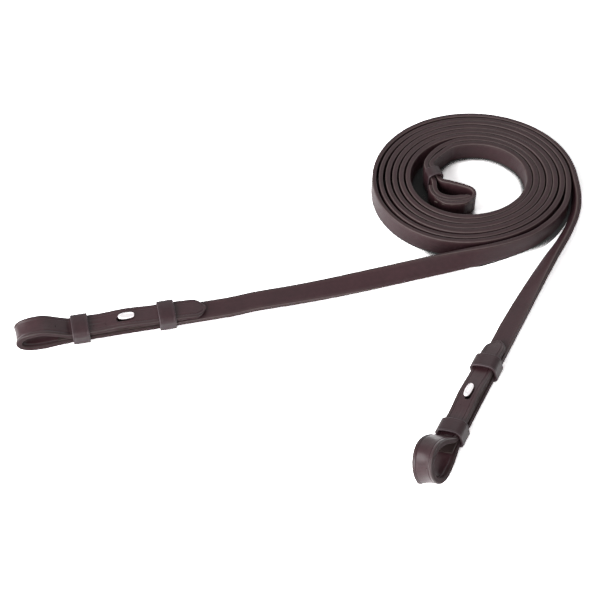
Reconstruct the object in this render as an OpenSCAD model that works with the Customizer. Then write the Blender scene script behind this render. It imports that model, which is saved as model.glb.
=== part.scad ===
// A pair of leather reins, rolled up together on edge in a flat double spiral.
// Each bit end is folded into a loop, and its tongue is held on a hook stud by two running keepers.
// Millimetres, +Z up, standing on Z = 0, origin under the middle of the whole part.

/* [Strap] */
// Width of the rein strap
strap_w = 13; // [12.5:0.5:14]
// Thickness of the rein strap
strap_t = 3.5; // [3.4:0.1:3.6]
// Bevel along the strap's four long edges
strap_bevel = 0.5; // [0.2:0.1:0.8]

/* [Coil] */
// Radius of the outermost turn's centreline, before it is drawn out to an oval
coil_r = 65.9; // [62:0.1:75]
// Gap between neighbouring layers of leather
layer_gap = 0.8; // [0.75:0.05:0.85]
// Share by which the coil is drawn out along X
oval_x = 0.037; // [0.034:0.001:0.038]
// Share by which the coil is drawn out along the diagonal
oval_diagonal = 0.0315; // [0.03:0.0005:0.032]
// Share by which one side of the coil is fuller than the other
oval_egg = 0.007; // [0.005:0.001:0.008]
// Way that the middle of the turns drifts along X from the outermost turn to the third turn in
drift_x = 1.4; // [1:0.1:1.5]
// Way that the middle of the turns drifts along Y from the outermost turn to the third turn in
drift_y = 1.2; // [0.8:0.1:1.3]

/* [Billets] */
// Length of a billet from the tongue's tip to the end of the bit loop
billet_len = 115; // [110:1:125]
// Plain strap between the free stretch and the tongue's tip
billet_lead = 12; // [8:1:14]
// Thickness of the tongue
tongue_t = 3.2; // [2.6:0.1:3.4]
// Wall of the bit loop, where the leather is full and soft
loop_wall = 3.9; // [3.5:0.1:4]
// Radius of the opening at the end of the left bit loop
left_bore_r = 4.8; // [4:0.1:5]
// Radius of the opening of the right bit loop, which is fully round
right_bore_r = 9.7; // [8:0.1:9.9]
// Height by which the tongue bows up at the stud
bow_rise = 1.2; // [0.8:0.1:1.4]
// Distance from the stud at which the tongue lies flat again
bow_half = 13; // [12:0.5:14]
// Radius of each side of the tongue's pointed tip
tip_side_r = 13; // [10:0.5:18]
// Distance from the end of the left bit loop to its fullest place
left_belly_back = 15.5; // [14:0.5:17]
// Outer radius of the left bit loop at its fullest place
left_belly_r = 9.9; // [9.4:0.1:10.4]
// Way that the right bit loop is longer than the left one
right_loop_more = 0.5; // [0:0.5:3]

/* [Stud and lining] */
// Distance from the middle of the stud's head to the bit keeper
stud_back = 23.1; // [20:0.1:26]
// Length of the stud's head
stud_len = 10.4; // [8:0.2:12]
// Width of the stud's head
stud_w = 4.6; // [4:0.1:6]
// Height of the stud's head
stud_h = 2.2; // [1.8:0.1:2.8]
// Diameter of the stud's neck
stud_neck_d = 2.8; // [2.4:0.1:3.4]
// Radius of the crown of the stud's head
stud_crown_r = 3; // [3:0.1:5]
// Length of the stud's base plate
stud_plate_len = 13; // [12:0.5:15]
// Width of the stud's base plate
stud_plate_w = 8; // [6:0.5:9]
// Thickness of the stud's base plate
stud_plate_t = 0.8; // [0.6:0.1:1]
// Thickness of the stud lining
lining_t = 1.4; // [1.2:0.1:1.8]
// Distance from the tongue's tip to the start of the lining
lining_from = 14; // [12:1:16]
// Distance from the end of the bit loop to the end of the lining
lining_back = 25; // [22:1:29]
// Gap between the lining and the tongue above it
tongue_gap = 0.4; // [0.3:0.05:0.8]
// Distance between stitches
stitch_pitch = 5.5; // [4:0.5:8]
// Diameter of the stitching thread
thread_d = 0.8; // [0.6:0.1:1]
// Distance of the stitching from the leather's edge
stitch_edge = 1.6; // [1.4:0.1:2.5]

/* [Keepers] */
// Width of a keeper along the strap
keeper_len = 10.2; // [8:0.2:11]
// Wall of a keeper
keeper_wall = 1.5; // [1.4:0.1:2]
// Clearance between a keeper and the leather inside it
keeper_gap = 0.3; // [0.3:0.05:0.6]
// Outer corner radius of a keeper
keeper_round = 2.5; // [1.6:0.1:2.5]
// Distance from the tongue's tip to the tip keeper
tip_keeper_at = 18.2; // [17:0.1:21]
// Distance from the end of the bit loop to the far side of the bit keeper
bit_keeper_back = 44.3; // [43:0.1:47]

/* [Centre join] */
// Thickness of the straps where they are thinned for the join
join_t = 3.2; // [2.6:0.1:3.3]
// Thickness of the left strap's tail inside the join
tail_t = 2.2; // [1.8:0.1:2.4]
// Thickness of the cover on the outside of the join
cover_t = 2.8; // [2:0.1:3]
// Outer corner radius of the centre keeper
centre_keeper_round = 2.2; // [1.6:0.1:2.2]
// Width of the centre keeper along the straps
centre_keeper_len = 8; // [7:0.2:9]
// Wall of the centre keeper
centre_keeper_wall = 1.4; // [1:0.1:1.5]
// Gap between the two straps inside the centre keeper
strand_gap = 1; // [0.6:0.1:1.2]
// Way that the centre keeper can slide to either side
centre_keeper_way = 1; // [0.5:0.1:1.2]

/* [Hidden] */
$fn = 48;
leather = [0.20, 0.14, 0.12];
lining_leather = [0.26, 0.19, 0.16];
thread_brown = [0.16, 0.10, 0.08];
bright_steel = [0.78, 0.78, 0.80];
// A cut passes this far beyond the face that it opens
past = 1;

// The places below are drawn for this radius of the coil, and move out or in with the coil's own radius
drawn_r = 65.9;
function grown(p) = [p.x * coil_r / drawn_r, p.y * coil_r / drawn_r, p[2], p[3]];
function all_grown(points) = [for (p = points) grown(p)];

// Poses of the billets, about the coil's centre: tip x, tip y, heading from the tip to the loop, roll,
// height of the keepers above the floor. A positive roll lifts the edge on the left of the heading.
left_pose = concat(grown([-170.5, -108.8, 192.1, -8]), [0]);
right_pose = concat(grown([9.3, -137.5, 243.8, 18]), [1.7]);

// Free stretches from the coil to the billets: x, y, roll, lift above the floor
left_route = all_grown([
    [60.8, -20.2, -90, 0], [52.8, -34.2, -90, 0], [43.6, -43.8, -90, 0], [34, -51, -90, 0],
    [21, -57.4, -86, 0], [7.5, -62.5, -79, 0], [-7, -66.8, -68, 0], [-22.8, -71.2, -57, 0],
    [-40, -75.8, -46, 0], [-63.6, -82.2, -32, 0.3], [-88.6, -88.8, -19, 0.8],
    [-113.4, -95, -11, 1.4], [-137.8, -100.6, -8, 1.9]
]);
right_route = all_grown([
    [69.3, -2, 90, 0], [68.6, -14, 82, 0], [66.2, -26, 73, 0], [62.2, -37.2, 67, 0.2],
    [55.2, -51.2, 60, 0.6], [47.2, -64.6, 52, 1.1], [38.4, -80.4, 43, 1.8], [30.1, -95.8, 34, 2.6],
    [22, -111.2, 25, 3.3]
]);
// Centre stretches: the left strap's turn at the join, the right strap's way along the join to the
// centre keeper, and the way of each from there to the coil: x, y, roll, lift
left_bend = all_grown([
    [1.7, -14.2, -90, 0.2], [0.2, -10.4, -90, 0.5], [-3.8, -8.3, -90, 0.8],
    [-8.4, -6.7, -90, 1.1], [-13.2, -5.3, -90, 1.4]
]);
left_spread = all_grown([[-25, 12.6, -90, 1], [-22.4, 18, -90, 0.6], [-17.4, 24, -90, 0.2]]);
right_join = all_grown([
    [-1.5, -15.2, 90, 0], [-6.3, -17, 90, 0], [-11.5, -17.9, 90, 0], [-17, -17.2, 90, 0],
    [-21.6, -14.7, 90, 0.2], [-23.9, -10.4, 90, 0.8]
]);
right_spread = all_grown([
    [-28.3, 13, 90, 1], [-25.7, 19.6, 90, 0.6], [-21.2, 26, 90, 0.3], [-15, 31.8, 90, 0]
]);
right_join_heading = 200;
// Stations of the right strap that the left strap's tail and the cover lie along, counted from its end
tail_stop = 16;
cover_stop = 12;
// Gap between the layers of the join
seam_gap = 0.1;
// Middle and heading of the centre keeper
centre_keeper_at = coil_r / drawn_r * [-24, 2.2];
centre_keeper_heading = 108;

// Degrees between rings of a coil, and the angles at which each rein enters and leaves it
coil_step = 9;
right_coil = [9, 1179];
left_coil = [0, 1188];
rings_a_leg = 3;
// The turns have drifted their whole way after this many degrees
drift_turn = 1080;

layer_pitch = strap_t + layer_gap;
right_coil_r = coil_r;
left_coil_r = coil_r - layer_pitch;

// Heights in a billet above the underside of its strap
lining_z = strap_t + lining_t;
tongue_z = lining_z + tongue_gap;
stack_h = tongue_z + tongue_t;
keeper_under = keeper_gap + keeper_wall;
keeper_half_w = strap_w / 2 + keeper_under;
left_loop_r = left_bore_r + loop_wall;
right_loop_r = right_bore_r + loop_wall;
left_end_x = billet_len;
right_end_x = billet_len + right_loop_more;
// The left loop's round end rests just above the level of the keepers' undersides
loop_end_lift = 0.3;
// Each loop's fullest place sags this far below the level of the keepers' undersides
left_sag = 0.2;
right_sag = 2.3;
// A flank meets its circle this far inside it, so that the two cross
flank_sink = 0.02;
// Each loop: middle and radius of its round end, middle and radius of its belly
left_loop = [
    [left_end_x - left_loop_r, left_loop_r - keeper_under + loop_end_lift], left_loop_r,
    [left_end_x - left_belly_back, left_belly_r - keeper_under - left_sag], left_belly_r
];
right_round = [right_end_x - right_loop_r, right_loop_r - keeper_under - right_sag];
right_loop = [right_round, right_loop_r, right_round, right_loop_r];
bit_keeper_at = billet_len - bit_keeper_back;
stud_at = bit_keeper_at - stud_back;
// The straight stack ends just past the bit keeper
bit_keeper_way = 1.3;
neck_x = bit_keeper_at + keeper_len + bit_keeper_way;
// The tongue and the strap run this far into the loop that they are one piece with
into_loop = 0.05;
lining_to = billet_len - lining_back;
tip_len = sqrt(tip_side_r * tip_side_r - pow(tip_side_r - strap_w / 2, 2));
stitch_half_w = strap_w / 2 - stitch_edge;
stitch_count = floor((neck_x - lining_from - 2 * stitch_edge) / stitch_pitch);
// Least inner corner radius of a keeper
least_round = 0.3;
slit_clear = 0.25;
plate_clear = 0.1;
// The stud's neck stands behind the middle of its head, and the tongue's slit runs out past the head
stud_neck_back = 1;
slit_past = 0.9;
stud_neck_x = stud_at - stud_neck_back;
slit_end_x = stud_at + stud_len / 2 + slit_past;

centre_lift = keeper_gap + centre_keeper_wall;
strand_half = (join_t + strand_gap) / 2;
centre_end_clear = 0.2;
centre_straight = centre_keeper_len / 2 + centre_keeper_way + centre_end_clear;

function direction(a) = [cos(a), sin(a)];
function side(a) = [-sin(a), cos(a)];

// Spiral of one rein, and its heading on the way out of the coil
function oval(a) = 1 + oval_x * cos(2 * a) + oval_diagonal * sin(2 * a) + oval_egg * cos(3 * a);
function spiral_point(a, r) =
    (r - 2 * layer_pitch * a / 360) * oval(a) * direction(a) + a / drift_turn * [drift_x, drift_y];
function spiral_heading(a, r) =
    let (back = spiral_point(a + 1, r) - spiral_point(a - 1, r))
    atan2(-back.y, -back.x);

// A station is x, y, heading, roll, lift and thickness
function plan(s) = [s.x, s.y];
function coil_stations(ends, r, roll) = [
    for (a = [ends[1]:-coil_step:ends[0]])
        let (p = spiral_point(a, r)) [p.x, p.y, spiral_heading(a, r), roll, 0, strap_t]
];

// Smooth curve through four neighbouring points, and its slope
function curve(a, b, c, d, u) =
    b + u / 2 * (c - a) + u * u * (a - 2.5 * b + 2 * c - d / 2) + u * u * u * (1.5 * (b - c) + (d - a) / 2);
function slope(a, b, c, d, u) =
    (c - a) / 2 + 2 * u * (a - 2.5 * b + 2 * c - d / 2) + 3 * u * u * (1.5 * (b - c) + (d - a) / 2);
function lead(p, q, heading, sign) =
    let (reach = 2 * norm([q.x - p.x, q.y - p.y]) * direction(heading))
    [q.x + sign * reach.x, q.y + sign * reach.y, p[2], p[3]];
function route_stations(points, from, to, t0, t1) =
    let (
        last = len(points) - 1,
        all = concat(
            [lead(points[0], points[1], from, -1)], points,
            [lead(points[last], points[last - 1], to, 1)]
        )
    )
    concat(
        [for (i = [0:last - 1], k = [0:rings_a_leg - 1])
            let (
                u = k / rings_a_leg,
                p = curve(all[i], all[i + 1], all[i + 2], all[i + 3], u),
                s = slope(all[i], all[i + 1], all[i + 2], all[i + 3], u),
                share = (i + u) / last
            )
            [p.x, p.y, i + k == 0 ? from : atan2(s.y, s.x), p[2], max(0, p[3]), t0 + (t1 - t0) * share]],
        [[points[last].x, points[last].y, to, points[last][2], points[last][3], t1]]
    );

// Ring of a strap's section at a station, resting its lowest corner at the station's lift
function strap_ring(s) =
    let (
        along = side(s[2]),
        w = [along.x * cos(s[3]), along.y * cos(s[3]), sin(s[3])],
        b = [-along.x * sin(s[3]), -along.y * sin(s[3]), cos(s[3])],
        hw = strap_w / 2,
        ht = s[5] / 2,
        e = min(strap_bevel, ht / 2),
        high = s[4] + hw * abs(sin(s[3])) + ht * abs(cos(s[3])),
        c = [s.x, s.y, high]
    )
    [for (q = [
        [hw, ht - e], [hw - e, ht], [e - hw, ht], [-hw, ht - e],
        [-hw, e - ht], [e - hw, -ht], [hw - e, -ht], [hw, e - ht]
    ]) c + q.x * w + q.y * b];
function strap_points(stations) = [for (s = stations) each strap_ring(s)];

// One unbroken strap through its stations, with triangles for faces
module strap(stations) {
    n = 8;
    last = (len(stations) - 1) * n;
    polyhedron(
        points = strap_points(stations),
        faces = concat(
            [for (k = [1:n - 2]) [0, k, k + 1]],
            [for (i = [0:n:last - n], k = [0:n - 1])
                let (m = (k + 1) % n)
                each [[i + k, i + n + m, i + m], [i + k, i + n + k, i + n + m]]],
            [for (k = [1:n - 2]) [last, last + k + 1, last + k]]
        )
    );
}

// Frame of a billet: X from the tip to the loop, Y along the strap's width, Z away from its underside
function pose_high(pose) = pose[4] + keeper_half_w * abs(sin(pose[3])) + keeper_under * cos(pose[3]);
function billet_end(pose) =
    let (
        d = direction(pose[2]),
        n = side(pose[2]),
        up = strap_t / 2,
        low = strap_w / 2 * abs(sin(pose[3])) + up * cos(pose[3])
    )
    [
        pose[0] - billet_lead * d.x - up * sin(pose[3]) * n.x,
        pose[1] - billet_lead * d.y - up * sin(pose[3]) * n.y,
        pose[3],
        pose_high(pose) + up * cos(pose[3]) - low
    ];
module billet_frame(pose) {
    translate([pose[0], pose[1], pose_high(pose)])
        rotate([0, 0, pose[2]])
            rotate([pose[3], 0, 0]) children();
}

left_coil_stations = coil_stations(left_coil, left_coil_r, -90);
right_coil_stations = coil_stations(right_coil, right_coil_r, 90);
function run_stations(coil, route, pose) =
    let (out = coil[len(coil) - 1])
    route_stations(
        concat([[out.x, out.y, out[3], 0]], route, [billet_end(pose)]),
        out[2], pose[2], strap_t, strap_t
    );
left_run_stations = run_stations(left_coil_stations, left_route, left_pose);
right_run_stations = run_stations(right_coil_stations, right_route, right_pose);

// A strap's two places at the ends of its straight way through the centre keeper
function keeper_gate(offset, way, roll) =
    let (p = centre_keeper_at + offset * side(centre_keeper_heading) + way * direction(centre_keeper_heading))
    [p.x, p.y, roll, centre_lift];
function coil_entry(coil) = [coil[0].x, coil[0].y, coil[0][3], 0];
function leave_keeper(offset, roll, spread, coil) = route_stations(
    concat([keeper_gate(offset, centre_straight, roll)], spread, [coil_entry(coil)]),
    centre_keeper_heading, coil[0][2], join_t, strap_t
);
function tail_of(stations) = [for (i = [1:len(stations) - 1]) stations[i]];
right_join_stations = route_stations(
    concat(right_join, [keeper_gate(strand_half, -centre_straight, 90)]),
    right_join_heading, centre_keeper_heading, join_t, join_t
);
// A layer of the join, on the outside of the right strap
function join_place(i, out) =
    let (s = right_join_stations[i], p = plan(s) + out * side(s[2]))
    [p.x, p.y, s[2], s[3], s[4]];
tail_out = join_t / 2 + seam_gap + tail_t / 2;
cover_out = tail_out + tail_t / 2 + seam_gap + cover_t / 2;
left_tail_stations = [
    for (i = [tail_stop:-1:0]) let (s = join_place(i, tail_out)) [s.x, s.y, s[2] - 180, -90, s[4], tail_t]
];
tail_end = left_tail_stations[tail_stop];
left_bend_stations = route_stations(
    concat([[tail_end.x, tail_end.y, -90, 0]], left_bend, [keeper_gate(-strand_half, -centre_straight, -90)]),
    tail_end[2], centre_keeper_heading, tail_t, join_t
);
left_centre_stations = concat(
    left_tail_stations, tail_of(left_bend_stations),
    leave_keeper(-strand_half, -90, left_spread, left_coil_stations)
);
right_centre_stations = concat(
    right_join_stations, leave_keeper(strand_half, 90, right_spread, right_coil_stations)
);
cover_stations = [for (i = [0:cover_stop]) concat(join_place(i, cover_out), cover_t)];

// The origin is under the middle of the whole part's box
function loop_least(pose, loop, axis) =
    let (
        d = direction(pose[2]),
        n = side(pose[2]),
        w = n[axis] * cos(pose[3]),
        b = -n[axis] * sin(pose[3]),
        centre = pose[axis] + loop[0].x * d[axis] + loop[0].y * b
    )
    centre - strap_w / 2 * abs(w) - loop[1] * sqrt(1 - w * w);
strap_cloud = concat(strap_points(right_coil_stations), strap_points(right_run_stations));
box_low = [loop_least(left_pose, left_loop, 0), loop_least(right_pose, right_loop, 1)];
box_high = [max([for (p = strap_cloud) p.x]), max([for (p = strap_cloud) p.y])];
home = [-(box_low.x + box_high.x) / 2, -(box_low.y + box_high.y) / 2, 0];

// Least gaps of the coils, measured on the points of their middle lines
rings_a_turn = 360 / coil_step;
function own_gap(stations) = min([
    for (i = [0:len(stations) - rings_a_turn - 1], k = [-2:2])
        let (j = i + rings_a_turn + k)
        if (j < len(stations)) norm(plan(stations[i]) - plan(stations[j])) - strap_t
]);
function mutual_gap(a, b) = min([for (p = a) min([for (q = b) norm(plan(p) - plan(q))])]) - strap_t;
echo("left coil, least gap to itself", own_gap(left_coil_stations));
echo("right coil, least gap to itself", own_gap(right_coil_stations));
echo("least gap between the two coils", mutual_gap(left_coil_stations, right_coil_stations));

// Side outline of the bit loop: a round end, a fuller belly, and flanks that run back to the straight stack
function flank(from, centre, r, sign) =
    let (
        way = centre - from,
        a = atan2(way.y, way.x) + sign * asin(r / norm(way))
    )
    centre + sign * r * side(a);
function shared_side(c0, r0, c1, r1, sign) =
    let (
        way = c1 - c0,
        a = atan2(way.y, way.x) + sign * (90 - asin((r1 - r0) / norm(way)))
    )
    [c0 + r0 * direction(a), c1 + r1 * direction(a)];
module loop_outline(top, under, loop, inset) {
    end = loop[0];
    belly = loop[2];
    r0 = loop[3] - inset;
    r1 = loop[1] - inset;
    translate(belly) circle(r0);
    polygon([
        top, flank(top, belly, r0 - flank_sink, 1), belly, flank(under, belly, r0 - flank_sink, -1), under
    ]);
    if (end != belly) {
        over = shared_side(belly, r0 - flank_sink, end, r1 - flank_sink, 1);
        below = shared_side(belly, r0 - flank_sink, end, r1 - flank_sink, -1);
        translate(end) circle(r1);
        polygon([over[0], over[1], end, below[1], below[0], belly]);
    }
}
module across_strap(width) {
    translate([0, width / 2, 0]) rotate([90, 0, 0]) linear_extrude(width) children();
}
// Plan of the tongue with its pointed tip
module tongue_plan() {
    intersection() {
        translate([0, -strap_w / 2]) square([neck_x + into_loop, strap_w]);
        union() {
            translate([tip_len, -strap_w / 2]) square([neck_x + past - tip_len, strap_w]);
            intersection() {
                translate([tip_len, tip_side_r - strap_w / 2]) circle(tip_side_r);
                translate([tip_len, strap_w / 2 - tip_side_r]) circle(tip_side_r);
            }
        }
    }
}
module oblong(length, width) {
    for (s = [-1, 1]) translate([s * (length - width) / 2, 0]) circle(d = width);
    square([length - width, width], center = true);
}
module slit_plan() {
    half = stud_neck_d / 2 + slit_clear;
    translate([stud_neck_x, 0]) circle(half);
    translate([slit_end_x - half, 0]) circle(half);
    translate([stud_neck_x, -half]) square([slit_end_x - half - stud_neck_x, 2 * half]);
}

// Side of the tongue, bowed up where the stud holds it
bow_steps = 8;
function bow(x) = abs(x - stud_at) < bow_half ? bow_rise * pow(cos(90 * (x - stud_at) / bow_half), 2) : 0;
module tongue_side() {
    places = concat([0], [for (k = [-bow_steps:bow_steps]) stud_at + k / bow_steps * bow_half], [neck_x + past]);
    last = len(places) - 1;
    polygon(concat(
        [for (x = places) [x, tongue_z + bow(x)]],
        [for (i = [last:-1:0]) [places[i], stack_h + bow(places[i])]]
    ));
}

// Strap end, bit loop and tongue, folded from one strap of leather
module billet(loop) {
    color(leather) {
        translate([-billet_lead, -strap_w / 2, 0]) cube([billet_lead + neck_x + into_loop, strap_w, strap_t]);
        difference() {
            intersection() {
                linear_extrude(stack_h + bow_rise + past) tongue_plan();
                across_strap(strap_w + 2 * past) tongue_side();
            }
            translate([0, 0, tongue_z - past])
                linear_extrude(tongue_t + bow_rise + 2 * past) slit_plan();
        }
        across_strap(strap_w) difference() {
            loop_outline([neck_x, stack_h], [neck_x, 0], loop, 0);
            loop_outline([neck_x, tongue_z], [neck_x, strap_t], loop, loop_wall);
        }
    }
}

// Thin leather sewn on the strap under the tongue, over the stud's base plate
module stud_lining() {
    color(lining_leather) difference() {
        translate([lining_from, -strap_w / 2, strap_t]) cube([lining_to - lining_from, strap_w, lining_t]);
        translate([stud_at, 0, strap_t - past])
            linear_extrude(stud_plate_t + plate_clear + past)
                oblong(stud_plate_len + 2 * plate_clear, stud_plate_w + 2 * plate_clear);
        translate([stud_neck_x, 0, strap_t]) cylinder(d = stud_neck_d + 2 * plate_clear, h = lining_t + past);
    }
}

// Hook stud: base plate, neck and crowned oblong head
module hook_stud() {
    head_z = stack_h + bow_rise + tongue_gap / 2;
    color(bright_steel) {
        translate([stud_at, 0, strap_t]) linear_extrude(stud_plate_t) oblong(stud_plate_len, stud_plate_w);
        translate([stud_neck_x, 0, strap_t]) cylinder(d = stud_neck_d, h = head_z + stud_h / 2 - strap_t);
        intersection() {
            translate([stud_at, 0, head_z]) linear_extrude(stud_h) oblong(stud_len, stud_w);
            translate([stud_at - stud_len, 0, head_z + stud_h - stud_crown_r])
                rotate([0, 90, 0]) cylinder(r = stud_crown_r, h = 2 * stud_len);
        }
    }
}

// Stitches through the lining and the strap, along both edges
module lining_stitches() {
    color(thread_brown)
        for (i = [0:stitch_count], s = [-1, 1])
            translate([lining_from + stitch_edge + i * stitch_pitch, s * stitch_half_w, 0])
                cylinder(d = thread_d, h = lining_z);
}

// Flat band of leather closed round a stack of straps
module band(width, height, wall, clear, round, length) {
    module window(grow, r) {
        w = width / 2 + grow - r;
        h = height / 2 + grow - r;
        for (x = [-w, w], y = [-h, h]) translate([x, y]) circle(r);
        square([2 * w + 2 * r, 2 * h], center = true);
        square([2 * w, 2 * h + 2 * r], center = true);
    }
    color(leather) rotate([90, 0, 90]) linear_extrude(length) difference() {
        window(clear + wall, round);
        window(clear, max(least_round, round - wall));
    }
}
module billet_keeper(at) {
    translate([at, 0, stack_h / 2])
        band(strap_w, stack_h, keeper_wall, keeper_gap, keeper_round, keeper_len);
}

module at_home() {
    translate(home) children();
}
module left_rein_coil() {
    at_home() color(leather) strap(left_coil_stations);
}
module left_rein_run() {
    at_home() color(leather) strap(left_run_stations);
}
module left_billet() {
    at_home() billet_frame(left_pose) billet(left_loop);
}
module left_stud_lining() {
    at_home() billet_frame(left_pose) stud_lining();
}
module left_lining_stitches() {
    at_home() billet_frame(left_pose) lining_stitches();
}
module left_hook_stud() {
    at_home() billet_frame(left_pose) hook_stud();
}
module left_bit_keeper() {
    at_home() billet_frame(left_pose) billet_keeper(bit_keeper_at);
}
module left_tip_keeper() {
    at_home() billet_frame(left_pose) billet_keeper(tip_keeper_at);
}
module right_rein_coil() {
    at_home() color(leather) strap(right_coil_stations);
}
module right_rein_run() {
    at_home() color(leather) strap(right_run_stations);
}
module right_billet() {
    at_home() billet_frame(right_pose) billet(right_loop);
}
module right_stud_lining() {
    at_home() billet_frame(right_pose) stud_lining();
}
module right_lining_stitches() {
    at_home() billet_frame(right_pose) lining_stitches();
}
module right_hook_stud() {
    at_home() billet_frame(right_pose) hook_stud();
}
module right_bit_keeper() {
    at_home() billet_frame(right_pose) billet_keeper(bit_keeper_at);
}
module right_tip_keeper() {
    at_home() billet_frame(right_pose) billet_keeper(tip_keeper_at);
}
module left_centre_run() {
    at_home() color(leather) strap(left_centre_stations);
}
module right_centre_run() {
    at_home() color(leather) strap(right_centre_stations);
}
module join_cover() {
    at_home() color(leather) strap(cover_stations);
}
// Stitches through the cover and the tail into the right strap, in two rows
module join_stitches() {
    at_home() color(thread_brown)
        for (i = [1:2:cover_stop - 1], z = [stitch_edge, strap_w - stitch_edge])
            let (s = right_join_stations[i])
            translate([s.x, s.y, s[4] + z])
                rotate([0, 0, s[2]])
                    rotate([-90, 0, 0]) cylinder(d = thread_d, h = cover_out + cover_t / 2);
}
module centre_keeper() {
    at_home()
        translate([centre_keeper_at.x, centre_keeper_at.y, centre_lift + strap_w / 2])
            rotate([0, 0, centre_keeper_heading])
                translate([-centre_keeper_len / 2, 0, 0])
                    band(2 * strand_half + join_t, strap_w, centre_keeper_wall, keeper_gap,
                         centre_keeper_round, centre_keeper_len);
}

left_rein_coil();
left_rein_run();
left_billet();
left_stud_lining();
left_lining_stitches();
left_hook_stud();
left_bit_keeper();
left_tip_keeper();
right_rein_coil();
right_rein_run();
right_billet();
right_stud_lining();
right_lining_stitches();
right_hook_stud();
right_bit_keeper();
right_tip_keeper();
left_centre_run();
right_centre_run();
join_cover();
join_stitches();
centre_keeper();
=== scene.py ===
import math

import bmesh
import bpy
import numpy as np
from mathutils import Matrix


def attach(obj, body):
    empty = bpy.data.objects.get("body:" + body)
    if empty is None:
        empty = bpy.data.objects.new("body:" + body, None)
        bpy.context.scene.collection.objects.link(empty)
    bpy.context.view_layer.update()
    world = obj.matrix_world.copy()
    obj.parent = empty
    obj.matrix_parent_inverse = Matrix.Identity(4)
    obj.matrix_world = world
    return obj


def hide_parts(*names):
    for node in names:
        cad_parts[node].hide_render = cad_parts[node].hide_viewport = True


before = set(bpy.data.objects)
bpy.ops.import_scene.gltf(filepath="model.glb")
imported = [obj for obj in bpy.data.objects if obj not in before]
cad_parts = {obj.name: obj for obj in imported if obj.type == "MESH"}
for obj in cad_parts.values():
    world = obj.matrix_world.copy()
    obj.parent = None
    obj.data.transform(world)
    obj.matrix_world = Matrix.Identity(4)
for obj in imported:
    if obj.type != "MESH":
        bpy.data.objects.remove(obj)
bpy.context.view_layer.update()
scene = bpy.context.scene
scene.view_settings.view_transform = "Standard"

# Camera
# A long lens looks down on the laid-out reins from the front, in a square picture.
# Its focal length is in pixels of that picture, and its place in metres.
HALF_PICTURE = 300
FOCAL_LENGTH = 1500
CAMERA_AT = (-0.00548, -0.62126, 0.6987)
CAMERA_TILT = 41.364
lens = bpy.data.cameras.new("camera")
lens.angle = 2 * math.atan(HALF_PICTURE / FOCAL_LENGTH)
camera = bpy.data.objects.new("camera", lens)
camera.location = CAMERA_AT
camera.rotation_euler = (math.radians(CAMERA_TILT), 0, 0)
scene.collection.objects.link(camera)
scene.camera = camera

# Rein straps
# Two long straps of waxed dark brown bridle leather, rolled up together on edge in a flat double spiral.
# Each is cut from one piece: sewn end, turn through the centre keeper, coil, and free stretch to its billet.
# Sizes are in millimetres and angles in degrees, and routes are measured from the middle of the coil.
MM = 0.001
HOME = np.array([106.404, 89.735])
STRAP_WIDTH = 13.0
STRAP_THICK = 3.5
LAYER_PITCH = 4.3
COIL_RADIUS = 65.9
# The coil is a little oval and a touch three-cornered, and its middle drifts on the way in
OVAL_COSINE = 0.037
OVAL_SINE = 0.0315
THREE_CORNERED = 0.007
DRIFT = np.array([1.4, 1.2])
DRIFT_TURN = 1080


def direction(angle):
    return np.array([math.cos(math.radians(angle)), math.sin(math.radians(angle))])


def side(angle):
    return np.array([-math.sin(math.radians(angle)), math.cos(math.radians(angle))])


def part_way(value, first, last):
    """0 up to the first value, 1 beyond the last, and even between them."""
    return min(1, max(0, (value - first) / (last - first)))


def spiral_point(turn, radius):
    a = math.radians(turn)
    oval = 1 + OVAL_COSINE * math.cos(2 * a) + OVAL_SINE * math.sin(2 * a) + THREE_CORNERED * math.cos(3 * a)
    wound_in = 2 * LAYER_PITCH * turn / 360
    return (radius - wound_in) * oval * direction(turn) + turn / DRIFT_TURN * DRIFT


def spiral_heading(turn, radius):
    back = spiral_point(turn + 1, radius) - spiral_point(turn - 1, radius)
    return math.degrees(math.atan2(-back[1], -back[0]))


# How far round the coil goes, the turn from ring to ring, and the stretch at its ends where waves fade out
COIL_TURN = 1190
RING_TURN = 3
FADE_TURN = 60
# Slow waves in how high the strap's lower edge lies and how far the strap leans
LIFT_WAVE = 0.16
LIFT_RATE = 2.3
LEAN_WAVE = 0.5
LEAN_RATE = 1.7
# The leather lies loose on the coil's left, where the inner turns lean out, and is packed elsewhere
LOOSE_TURN = 8
LOOSE_THINNER = 0.4
LOOSE_LEAN = 9
LOOSE_UNPACKED = 0.7
INNER_TURNS = (300, 1000)
PACKED_GAP = 0.32
PACKED_THICK = 3.9
# The outermost turn stands a little clear of the next one
OUTER_TURNS = (330, 390)
OUTER_THINNER = 0.3


def coil_stations(first, last, radius, other_radius, roll, phase):
    """Stations x, y, heading, roll, lift, thickness, from the inside of the coil to its outside."""
    others = np.array([spiral_point(turn, other_radius) for turn in np.arange(0, COIL_TURN, RING_TURN / 2)])
    found = []
    for turn in range(last, first - 1, -RING_TURN):
        x, y = spiral_point(turn, radius)
        fade = min(1, (last - turn) / FADE_TURN, (turn - first) / FADE_TURN)
        lift = fade * LIFT_WAVE * (1 + math.sin(math.radians(turn * LIFT_RATE + phase)))
        loose = max(0.0, -math.cos(math.radians(turn - LOOSE_TURN))) ** 2
        sway = LEAN_WAVE * math.sin(math.radians(turn * LEAN_RATE + 2 * phase))
        lean = fade * (LOOSE_LEAN * loose * part_way(turn, *INNER_TURNS) + sway)
        slack = OUTER_THINNER * part_way(turn, *OUTER_TURNS[::-1]) + LOOSE_THINNER * fade * loose
        room = np.linalg.norm(others - [x, y], axis=1).min() - PACKED_GAP
        swell = fade * (1 - LOOSE_UNPACKED * loose) * part_way(turn, *OUTER_TURNS)
        thick = STRAP_THICK - slack + max(0, min(PACKED_THICK, room) - STRAP_THICK) * swell
        found.append([x, y, spiral_heading(turn, radius), roll - lean, lift, thick])
    return found


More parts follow.
